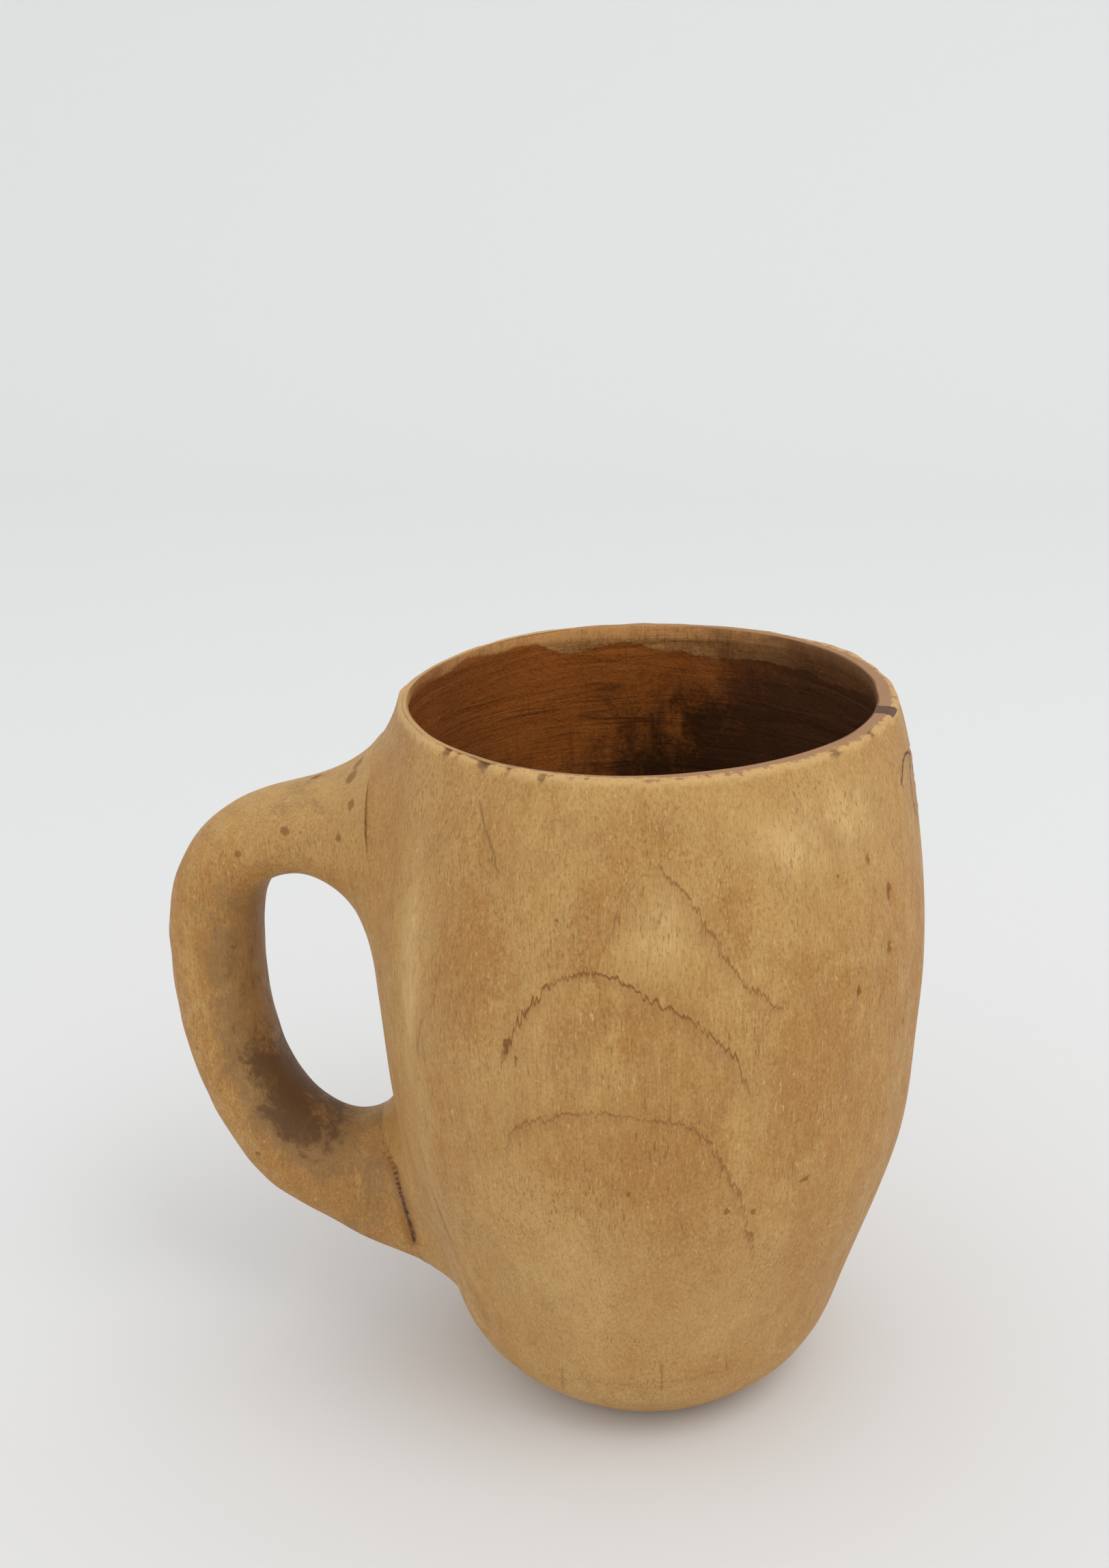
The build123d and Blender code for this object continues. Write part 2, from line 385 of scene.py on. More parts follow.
def makeBody():
    # the profile: foot, outer side, worn edge, flat of the mouth, inner lip, inner side, floor
    edge, lip = body["edge"], body["lip"]
    side = np.linspace(0, len(outerR) - 1, body["sideRows"]).astype(int)
    inner = np.linspace(0, len(innerR) - 1, body["innerRows"]).astype(int)
    turn, lipTurn = np.radians(np.linspace(15, 90, 6)), np.radians(np.linspace(20, 90, 4))
    flatStart = outerR[-1] - edge
    parts = [
        (np.linspace(0.15, 0.97, 5) * outerR[0], np.zeros(5)),
        (outerR[side], outerZ[side]),
        (flatStart + edge * np.cos(turn), outerZ[-1] + (height - outerZ[-1]) * np.sin(turn)),
        (np.linspace(flatStart, innerR[0] + lip, 7)[1:], np.full(6, height)),
        (innerR[0] + lip * (1 - np.sin(lipTurn)), height - (height - innerZ[0]) * (1 - np.cos(lipTurn))),
        (innerR[inner], innerZ[inner]),
        (innerR[-1] * np.linspace(0.9, 0.15, 6), np.full(6, innerZ[-1])),
    ]
    profileRadius, profileZ = (np.concatenate([part[i] for part in parts]) for i in (0, 1))
    profileKind = np.repeat(np.arange(7), [len(part[0]) for part in parts])
    step = np.linspace(0, 2 * np.pi, body["around"], endpoint=False)
    columnAngle = step - body["crowding"] * np.sin(step - np.radians(body["front"]))
    angle, radius = np.meshgrid(columnAngle, profileRadius)
    z, kind = (np.repeat(values[:, None], body["around"], 1) for values in (profileZ, profileKind))
    hollow, onSide = kind >= 4, kind == 1

    # carved unevenness, the same on both faces of the wall, then tool marks, stronger inside
    x, y = radius * np.cos(angle), radius * np.sin(angle)
    rise = smoothStep(0.02 * height, 0.12 * height, z)
    radius = radius + rise * body["unevenness"] * ripple(x, y, z * 0.6, 46 * mm, 3)
    atMouth = smoothStep(height, 0.9 * height, z)
    marks = body["toolMarks"] * ripple(x, y, z * 0.35, 11 * mm, 5)
    radius = radius + rise * marks * np.where(hollow, 0.3 + 2.2 * atMouth, 1)
    gouges = np.sin(z / body["gougePitch"] * 2 * np.pi + 1.8 * ripple(x, y, z, 30 * mm, 8))
    radius = radius + body["gougeDepth"] * gouges * rise * hollow * smoothStep(height, 0.93 * height, z)

    # the side flows out into the handle's roots as far as the seam, then dives under the handle
    beside = onSide & (np.abs(turnFrom(angle, 180)) < np.radians(body["handleSpan"])) & (z > 0.03 * height)
    a, level = angle[beside], z[beside]
    base = outerRadius(level)

    def union(reach):
        px, py = reach * np.cos(a), reach * np.sin(a)
        return together(heightAboveBody(px, py, level), heightAboveBar(px, py, level), blendReach(level))

    found = firstExit(base + 1e-6, body["stride"], body["strides"], union)
    lift = np.where(np.isnan(found), body["strides"] * body["stride"], found - base)
    opening = crackOpening(base * np.sin(a), level)
    overlap = seam["overlap"] * smoothStep(0.1 * mm, 0, opening)
    limit = seamHeight(level) + overlap - opening
    under = np.maximum(lift - limit, 0)
    radius[beside] += np.minimum(lift, limit) - np.minimum(2.2 * under, limit + 0.8 * mm)
    fromSeam = np.full(radius.shape, 9.0)
    fromSeam[beside] = np.where(opening > 0.04 * mm, np.abs(lift - seamHeight(level)) / mm, 9)

    # wear and chips on the outer edge of the mouth
    nearEdge = smoothStep(height - 2.8 * mm, height - 0.3 * mm, z) * (kind <= 2)
    chipped = np.zeros(radius.shape)
    for degrees, wide, deep in body["chips"]:
        chipped = np.maximum(chipped, deep * np.exp(-(turnFrom(angle, degrees) / np.radians(wide))**2))
    worn = 0.1 * (1 + ripple(x, y, z, 7 * mm, 12))
    radius = radius - nearEdge * (chipped + worn) * mm
    z = z - nearEdge * (0.7 * chipped + 0.4 * worn) * mm * (kind == 2)

    # dents
    dented = np.zeros(radius.shape)
    for degrees, level, wide, tall, deep in body["pits"]:
        across = turnFrom(angle, degrees) * outerRadius(z) / (wide * mm)
        dent = np.exp(-across**2 - ((z - level * mm) / (tall * mm))**2) * onSide
        dented = np.maximum(dented, dent)
        radius = radius - deep * mm * dent

    # the seat of the knot: the wall is cut back a little on both faces
    seat = body["knotSeat"] * smoothStep(0, -0.8 * mm, knotEdge(angle, z))
    radius = radius - seat * onSide + seat * (kind == 5)

    # patches of paler and darker on the side: the wood's own, with a painted reflection at -136 degrees,
    # painted light at -48 degrees by the mouth and painted shade at -12 degrees
    tone = np.zeros(radius.shape)
    for degrees, level, wide, tall, strength in body["tone"]:
        across = turnFrom(angle, degrees) * outerRadius(z) / (wide * mm)
        tone = tone + strength * np.exp(-across**2 - ((z - level * mm) / (tall * mm))**2)

    growth, growthHere = drawnLines(angle, z, body["growthLines"])
    check, checkHere = drawnLines(angle, z, body["checks"])
    fromEdge = np.where(kind <= 2, -(height - z), (kind == 3) * (flatStart - radius)) / mm
    stainTop = np.interp(np.degrees(turnFrom(angle, 0)), *np.array(body["stainTop"]).T)
    stainTop = stainTop + 0.5 * ripple(x, y, 0 * z, 12 * mm, 41)
    burnAt, burnHalf = body["burn"]
    burn = np.exp(-(turnFrom(angle, burnAt) / np.radians(burnHalf))**6)

    # the hollow stands off centre, more so towards the mouth; the flat of the mouth takes up the shift
    overFlat = np.where(kind == 3, (flatStart - radius) / (flatStart - innerR[0]), 1)
    shift = -body["mouthShift"] * smoothStep(0.2 * height, height, z) * overFlat * (kind >= 3)
    grid = np.stack([radius * np.cos(angle) + shift, radius * np.sin(angle), z], -1)
    fields = {
        "hollow": (hollow, 0, 1),
        "fromEdge": (np.clip(np.where(hollow, 5, fromEdge), -20, 5), -20, 5),
        "chipped": (nearEdge * chipped, 0, 0),
        "dented": (dented, 0, 0),
        "tone": (tone, 0, 0),
        "growth": (growth, 99, 99),
        "growthHere": (growthHere * onSide, 0, 0),
        "check": (check, 99, 99),
        "checkHere": (checkHere * onSide, 0, 0),
        "fromSeam": (fromSeam, 9, 9),
        "belowStain": (stainTop - z / mm, 0, 99),
        "fromKnot": (np.where(onSide | (kind == 5), knotEdge(angle, z) / mm, 20), 20, 20),
        "knotTop": (smoothStep(knot["middle"] - 1 * mm, knot["middle"] + 4 * mm, z), 0, 0),
        "burn": (burn * (kind >= 2) * (kind <= 4), 0, 0),
    }
    return addMesh("carvedBody", grid, [(0, 0, 0), (0, 0, innerZ[-1])], fields)


knot = {
    "middle": (knotLow.z + knotHigh.z) / 2,
    "radius": (knotHigh.z - knotLow.z) / 2,
    "around": 96,
    "rings": 26,
    "gap": 0.1 * mm,  # the shrinkage gap round it
    "taper": 0.82,  # its inner face, as a share of the outer
    "split": 0.4 * mm,  # depth of the three splits that run out from its middle
}


def knotEdge(angle, z):
    # distance along the surface outside the knot's edge, negative within it
    return np.hypot(turnFrom(angle, 0) * outerRadius(z), z - knot["middle"]) - knot["radius"]


def makeKnot():
    # a plug: circles that grow from the middle of the outer face to its edge and shrink again to the
    # middle of the inner face, each bent onto the wall's own round
    turn = np.linspace(0, 2 * np.pi, knot["around"], endpoint=False)
    share = np.linspace(0.04, 1, knot["rings"])
    share = np.concatenate([share, share[::-1]])[:, None]
    outside = np.arange(len(share))[:, None] < knot["rings"]
    ragged = 1 + 0.010 * np.sin(3 * turn + 0.7) + 0.006 * np.sin(7 * turn + 2.0)
    edge = (knot["radius"] - knot["gap"] * (1 + 0.8 * np.sin(turn + 2.4))) * ragged
    radius = share * edge * np.where(outside, 1, knot["taper"])
    across, up = radius * np.cos(turn), knot["middle"] + radius * np.sin(turn)
    worn = 0.12 * mm * smoothStep(0.85, 1.0, share) + 0.05 * mm * ripple(across, up, 0 * up, 3 * mm, 21)
    split = knot["split"] * np.exp(-(np.sin(1.5 * turn + 0.4) / 0.12)**2) * smoothStep(0.95, 0.3, share)
    depth = np.where(outside, outerRadius(up) - worn - split, innerRadius(up) + worn)
    angle = across / depth
    shift = 0.9 * body["mouthShift"]  # how far the hollow stands off centre at this height
    x = depth * np.cos(angle) - np.where(outside, 0, shift)
    grid = np.stack([x, depth * np.sin(angle), up], -1)
    poles = [(outerRadius(knot["middle"]), 0, knot["middle"]),
             (innerRadius(knot["middle"]) - shift, 0, knot["middle"])]
    return addMesh("deadKnot", grid, poles, {"fromMiddle": (share, 0, 0), "hollow": (~outside, 0, 1)})


wear = {
    # dirt on the handle, and painted shade where it faces the body: share along it, half length, side (1
    # faces the body, -1 the palm), strength
    "grimeAndShade": [(0.30, 0.10, 1, 0.55), (0.46, 0.14, 1, 0.62), (0.64, 0.12, 1, 1.25), (0.76, 0.08, 1, 0.7),
              (0.87, 0.05, 0, 0.35), (0.12, 0.05, -1, 0.3)],
    # marks: place, size and depth in mm, then how dark
    "marks": [(-58.7, 0.9, 111.9, 0.9, 0.9, 2.2), (-48.9, -4.6, 116.9, 1.5, 0.1, 1.0),
              (-49.6, -7.2, 115.4, 1.6, 0.1, 1.0), (-48.3, -12.5, 112.5, 1.1, 0.2, 1.0),
              (-61.8, -9.5, 105.8, 1.0, 0.3, 0.9), (-70.9, -9.0, 100.9, 0.8, 0.1, 0.8),
              (-50.8, -13.2, 106.6, 0.9, 0.1, 0.9), (-72.0, -9.0, 40.0, 0.7, 0.3, 0.9),
              (-86.5, 2.0, 70.0, 0.8, 0.3, 0.8)],
}


def makeHandle():
    # a squarish oval carried along the centreline; near the roots each ray of a section runs on to the
    # smooth union with the body, and past the seam the surface dives into the wall
    turn = np.linspace(0, 2 * np.pi, grip["around"], endpoint=False)
    out, up, sideOut, sideUp, depth, width, share = (
        bar[name][:, None] for name in ("out", "up", "sideOut", "sideUp", "depth", "width", "share"))
    cosine, sine = np.broadcast_arrays(np.cos(turn)[None, :] + 0 * out, np.sin(turn)[None, :] + 0 * out)
    own = barReach(depth, width, cosine, sine)

    def place(radius, rows=slice(None)):
        along = radius * cosine[rows]
        return -(out[rows] + along * sideOut[rows]), radius * sine[rows], up[rows] + along * sideUp[rows]

    radius = own.copy()
    atRoot = (heightAboveBody(*place(own)) < 1.1 * grip["crookBlend"]).any(1)

    def union(radius):
        x, y, z = place(radius, atRoot)
        return together(heightAboveBar(x, y, z), heightAboveBody(x, y, z), blendReach(z))

    found = firstExit(own[atRoot] - 0.2 * mm, grip["stride"], grip["strides"], union)
    radius[atRoot] = np.where(np.isnan(found), own[atRoot] + 5 * mm, found)
    x, y, z = place(radius)
    above = heightAboveBody(x, y, z)
    opening = crackOpening(y, z)
    limit = seamHeight(z) - seam["overlap"] * smoothStep(0.1 * mm, 0, opening) + opening
    sunk = np.maximum(limit - 2.6 * (limit - above), -1.6 * mm)
    drop = np.where(above < limit, above - sunk, 0)
    shrink = 1 - drop / np.hypot(x, y)
    x, y = x * shrink, y * shrink

    # slight whittled unevenness and dents, fading out at the roots
    free = smoothStep(seam["upperHeight"], seam["upperHeight"] + 12 * mm, above)
    push = grip["unevenness"] * (ripple(x, y, z, 24 * mm, 31) + 0.2 * ripple(x, y, z, 7 * mm, 33)) * free
    dented = np.zeros(x.shape)
    for px, py, pz, size, deep, dark in wear["marks"]:
        away = ((x / mm - px)**2 + (y / mm - py)**2 + (z / mm - pz)**2) / size**2
        dented = np.maximum(dented, dark * np.exp(-away))
        push = push - deep * mm * np.exp(-away)
    x = x - push * cosine * sideOut
    z = z + push * cosine * sideUp
    y = y + push * sine

    # grime along the handle, with painted shade on the face towards the body
    grimeAndShade = np.zeros(x.shape)
    for at, half, facing, strength in wear["grimeAndShade"]:
        sideways = smoothStep(-0.35, 0.75, facing * cosine) if facing else 1
        grimeAndShade = grimeAndShade + strength * np.exp(-((share - at) / half)**2) * sideways
    fields = {
        "grimeAndShade": (grimeAndShade, 0, 0),
        "dented": (dented, 0, 0),
        "fromSeam": (np.where(opening > 0.04 * mm, np.abs(above - seamHeight(z)) / mm, 9), 9, 9),
    }
    poles = [(-out[0, 0], 0, up[0, 0]), (-out[-1, 0], 0, up[-1, 0])]
    return addMesh("carvedHandle", np.stack([x, y, z], -1), poles, fields)


def feed(tree, socket, value):  # a socket takes another node's output, or a number or colour
    if isinstance(value, bpy.types.NodeSocket):
        tree.links.new(value, socket)
    else:
        socket.default_value = value


def calc(tree, operation, *values):
    node = tree.nodes.new("ShaderNodeMath")
    node.operation = operation
    for socket, value in zip(node.inputs, values):
        feed(tree, socket, value)
    return node.outputs[0]


def total(tree, first, *rest):
    for value in rest:
        first = calc(tree, "ADD", first, value)
    return first


def ease(tree, value, low, high, start=0.0, end=1.0):  # smooth step from start at low to end at high
    node = tree.nodes.new("ShaderNodeMapRange")
    node.interpolation_type = "SMOOTHSTEP"
    for socket, given in zip(node.inputs, (value, low, high, start, end)):
        feed(tree, socket, given)
    return node.outputs[0]


def coat(tree, share, under, over, how="MIX"):  # lays one colour over another
    node = tree.nodes.new("ShaderNodeMix")
    node.data_type, node.blend_type = "RGBA", how
    feed(tree, node.inputs[0], share)
    feed(tree, node.inputs[6], under)
    feed(tree, node.inputs[7], over)
    return node.outputs[2]


def stretched(tree, where, scale):  # the place, scaled along each axis
    node = tree.nodes.new("ShaderNodeVectorMath")
    node.operation = "MULTIPLY"
    feed(tree, node.inputs[0], where)
    node.inputs[1].default_value = scale
    return node.outputs[0]


def speckle(tree, where, size, detail=2.0, rough=0.5, warp=0.0, along=1.0):
    # a noise of that size in mm, drawn out along Z; about 0 to 1 with its middle at 0.5
    node = tree.nodes.new("ShaderNodeTexNoise")
    feed(tree, node.inputs["Vector"], stretched(tree, where, (1 / size, 1 / size, 1 / (size * along))))
    node.inputs["Scale"].default_value = 1.0
    node.inputs["Detail"].default_value = detail
    node.inputs["Roughness"].default_value = rough
    node.inputs["Distortion"].default_value = warp
    return node.outputs[0]


def field(tree, name):
    node = tree.nodes.new("ShaderNodeAttribute")
    node.attribute_name = name
    return node.outputs["Fac"]


def newPaint(name):
    material = bpy.data.materials.new(name)
    material.use_nodes = True
    tree = material.node_tree
    scale = tree.nodes.new("ShaderNodeVectorMath")
    scale.operation = "SCALE"
    tree.links.new(tree.nodes.new("ShaderNodeTexCoord").outputs["Object"], scale.inputs[0])
    scale.inputs["Scale"].default_value = 1 / mm
    return material, tree, scale.outputs[0]


def finishPaint(tree, colour, roughness, relief, shine=0.22):
    # relief is a height in mm
    shader = tree.nodes["Principled BSDF"]
    feed(tree, shader.inputs["Base Color"], colour)
    feed(tree, shader.inputs["Roughness"], roughness)
    bump = tree.nodes.new("ShaderNodeBump")
    bump.inputs["Strength"].default_value = 1.0
    bump.inputs["Distance"].default_value = mm
    feed(tree, bump.inputs["Height"], relief)
    tree.links.new(bump.outputs[0], shader.inputs["Normal"])
    feed(tree, shader.inputs["Specular IOR Level"], shine)


def colourOf(red, green, blue):
    return (red, green, blue, 1.0)


wood = {
    "pale": colourOf(0.700, 0.455, 0.185),
    "straw": colourOf(0.530, 0.308, 0.100),
    "amber": colourOf(0.440, 0.215, 0.056),
    "ring": colourOf(0.330, 0.160, 0.050),
    "pore": colourOf(0.215, 0.100, 0.034),
    "line": colourOf(0.240, 0.095, 0.022),
    "crack": colourOf(0.030, 0.014, 0.006),
    # the handle's grime colours, which also carry painted shade on its face towards the body
    "grimeAndShade": colourOf(0.245, 0.142, 0.058),
    "darkestGrimeAndShade": colourOf(0.100, 0.048, 0.020),
    "ringWidth": 5.2,  # mm
    "pith": (-2.4, 72.5, -0.19),  # the pith stands behind the cup: x and y in mm at the foot, lean in y
}


def bareWood(tree, where, tone, turnedBy=0.0):
    # straw to amber, clouded and mottled, and paler where the tone says so; growth rings as faint
    # darker bands round the pith; upright fibres, fine grain, dark dashes and small pale nicks.
    # Gives the colour, the roughness and the relief in mm
    parts = tree.nodes.new("ShaderNodeSeparateXYZ")
    feed(tree, parts.inputs[0], where)
    x, y, z = parts.outputs
    pithX, pithY, lean = wood["pith"]
    bend = calc(tree, "MULTIPLY", total(tree, speckle(tree, where, 45, 1.0, along=2.5), -0.5), 12.0)
    shiver = calc(tree, "MULTIPLY", total(tree, speckle(tree, where, 2.2, 3.0, 0.6, along=7), -0.5), 1.3)
    away = calc(tree, "SUBTRACT", total(tree, y, calc(tree, "MULTIPLY", z, -lean)), pithY)
    ringAt = calc(tree, "SQRT", calc(tree, "ADD", calc(tree, "POWER", total(tree, x, -pithX), 2.0),
                                     calc(tree, "POWER", away, 2.0)))
    ringAt = calc(tree, "DIVIDE", total(tree, ringAt, bend, shiver), wood["ringWidth"])
    band = calc(tree, "FRACT", total(tree, ringAt, turnedBy))
    late = calc(tree, "MULTIPLY", ease(tree, band, 0.35, 0.93), ease(tree, band, 1.0, 0.95))

    cloud = speckle(tree, where, 24, 3.0, 0.6, 0.6, along=2.0)
    streak = speckle(tree, where, 2.4, 3.0, 0.6, 0.2, along=12)
    mottle = speckle(tree, where, 3.2, 4.0, 0.7, 0.6, along=1.5)
    smudge = speckle(tree, where, 7.5, 4.0, 0.68, 0.8, along=1.7)
    fibre = speckle(tree, where, 0.30, 2.0, 0.6, along=16)
    dash = speckle(tree, where, 0.26, 1.0, 0.5, along=8)
    grain = speckle(tree, where, 0.42, 3.0, 0.75, along=1.6)
    patchy = speckle(tree, where, 11, 2.0, 0.5, along=1.5)

    gritty = ease(tree, total(tree, mottle, calc(tree, "MULTIPLY", grain, 0.6)), 0.60, 1.0, 0.45, 1.35)
    depth = total(tree, calc(tree, "MULTIPLY", total(tree, cloud, -0.5), 1.3),
                  calc(tree, "MULTIPLY", total(tree, streak, -0.5), 0.7),
                  calc(tree, "MULTIPLY", total(tree, mottle, -0.5), 0.9), 0.5,
                  calc(tree, "MULTIPLY", calc(tree, "MULTIPLY", tone, gritty), -0.85))
    colour = coat(tree, ease(tree, depth, 0.20, 0.95), wood["straw"], wood["amber"])
    colour = coat(tree, ease(tree, depth, 0.30, -0.50), colour, wood["pale"])
    colour = coat(tree, calc(tree, "MULTIPLY", late, 0.14), colour, wood["ring"])
    colour = coat(tree, ease(tree, smudge, 0.54, 0.72, 0.0, 0.36), colour, wood["ring"])
    colour = coat(tree, ease(tree, fibre, 0.48, 0.72, 0.0, 0.40), colour, wood["ring"])
    colour = coat(tree, ease(tree, fibre, 0.46, 0.26, 0.0, 0.25), colour, wood["pale"])
    colour = coat(tree, ease(tree, grain, 0.50, 0.72, 0.0, 0.50), colour, wood["pore"])
    colour = coat(tree, ease(tree, grain, 0.48, 0.28, 0.0, 0.34), colour, wood["pale"])
    dashes = calc(tree, "MULTIPLY", ease(tree, dash, 0.62, 0.70),
                  ease(tree, patchy, 0.44, 0.62, 0.10, 0.55))
    colour = coat(tree, dashes, colour, wood["pore"])
    nick = ease(tree, speckle(tree, where, 0.5, 1.0, along=3.5), 0.70, 0.76, 0.0, 0.55)
    colour = coat(tree, nick, colour, wood["pale"])
    roughness = ease(tree, mottle, 0.3, 0.7, 0.48, 0.62)
    relief = total(tree, calc(tree, "MULTIPLY", fibre, 0.05), calc(tree, "MULTIPLY", grain, 0.06),
                   calc(tree, "MULTIPLY", mottle, 0.10), calc(tree, "MULTIPLY", dashes, -0.06),
                   calc(tree, "MULTIPLY", nick, 0.05))
    return colour, roughness, relief


def seamPaint(tree, where, colour):
    # the crack at the handle's lower root: black in the gap, brown beside it
    waver = calc(tree, "MULTIPLY", speckle(tree, where, 2.0), 0.35)
    fromSeam = total(tree, field(tree, "fromSeam"), waver)
    colour = coat(tree, ease(tree, fromSeam, 2.4, 0.4, 0.0, 0.60), colour, wood["line"])
    return coat(tree, ease(tree, fromSeam, 0.52, 0.24, 0.0, 0.88), colour, wood["crack"])


# colours of the hollow, the mouth and the knot; black and red inside the hollow are partly stain and
# partly painted shade towards +X
stain = {
    "band": colourOf(0.560, 0.275, 0.090),
    "bandDark": colourOf(0.380, 0.165, 0.050),
    "wet": colourOf(0.395, 0.115, 0.018),
    "red": colourOf(0.110, 0.045, 0.020),
    "deep": colourOf(0.080, 0.030, 0.012),
    "blackStainAndShade": colourOf(0.034, 0.015, 0.006),
    "rimTop": colourOf(0.370, 0.190, 0.085),
    "chip": colourOf(0.230, 0.115, 0.045),
    "bark": colourOf(0.072, 0.031, 0.017),
    "knot": colourOf(0.450, 0.240, 0.080),
    "knotRing": colourOf(0.300, 0.140, 0.045),
}


def hollowPaint(tree, where):
    # inside: a tan band above the stain's wavy edge; below it orange brown that turns nearly black towards
    # +X and the floor, with soft dark bands left by the gouge and rough dark patches.
    # The darkening and reddening towards +X is painted shade of the wall turned from the light, laid over
    # the stain
    parts = tree.nodes.new("ShaderNodeSeparateXYZ")
    feed(tree, parts.inputs[0], where)
    x = parts.outputs[0]
    fibre = total(tree, speckle(tree, where, 0.5, 2.0, 0.65, along=20), -0.5)
    mottle = total(tree, speckle(tree, where, 6.0, 4.0, 0.65, 0.8, along=1.8), -0.5)
    rough = total(tree, speckle(tree, where, 1.0, 3.0, 0.7, 0.6), -0.5)
    level = stretched(tree, where, (0.10, 0.10, 1.0))  # drawn out round the hollow
    band = total(tree, speckle(tree, level, 3.0, 3.0, 0.55, 0.8), -0.5)
    blotch = total(tree, speckle(tree, where, 14.0, 4.0, 0.6, 1.0), -0.5)
    belowStain = total(tree, field(tree, "belowStain"), calc(tree, "MULTIPLY", mottle, 2.2),
                       calc(tree, "MULTIPLY", rough, 1.0))
    under = ease(tree, belowStain, -0.2, 0.4)
    colour = coat(tree, ease(tree, total(tree, blotch, calc(tree, "MULTIPLY", fibre, 0.5)), -0.15, 0.25),
                  stain["band"], stain["bandDark"])
    colour = coat(tree, calc(tree, "MULTIPLY", under, 0.93), colour, stain["wet"])
    # painted shade: darker towards +X, where the wall is turned from the light, over the stain that
    # darkens further below its edge
    dark = total(tree, calc(tree, "MULTIPLY", x, 0.026), calc(tree, "MULTIPLY", belowStain, 0.034),
                 calc(tree, "MULTIPLY", mottle, 1.3), calc(tree, "MULTIPLY", rough, 0.7),
                 calc(tree, "MULTIPLY", blotch, 0.8))
    colour = coat(tree, calc(tree, "MULTIPLY", ease(tree, dark, -0.05, 0.85, 0.0, 0.95), under), colour,
                  stain["blackStainAndShade"])
    # painted shade: the band and the wall turn dark red towards +X
    stainAndShadeRed = ease(tree, total(tree, x, calc(tree, "MULTIPLY", blotch, 30)), -4, 28, 0.0, 0.85)
    colour = coat(tree, stainAndShadeRed, colour, stain["red"])
    colour = coat(tree, ease(tree, x, -26, -40, 0.0, 0.35), colour, stain["red"])
    lines = calc(tree, "MULTIPLY", ease(tree, band, 0.05, 0.16),
                 ease(tree, belowStain, 2.0, 8.0, 0.0, 0.6))
    colour = coat(tree, lines, colour, stain["deep"])
    edgeLine = calc(tree, "MULTIPLY", ease(tree, belowStain, 1.6, 0.3, 0.0, 0.20), under)
    colour = coat(tree, edgeLine, colour, stain["deep"])
    colour = coat(tree, ease(tree, fibre, 0.0, 0.22, 0.0, 0.18), colour, stain["deep"])
    relief = total(tree, calc(tree, "MULTIPLY", band, 0.5), calc(tree, "MULTIPLY", rough, 0.25),
                   calc(tree, "MULTIPLY", mottle, 0.4), calc(tree, "MULTIPLY", fibre, 0.06))
    return colour, relief


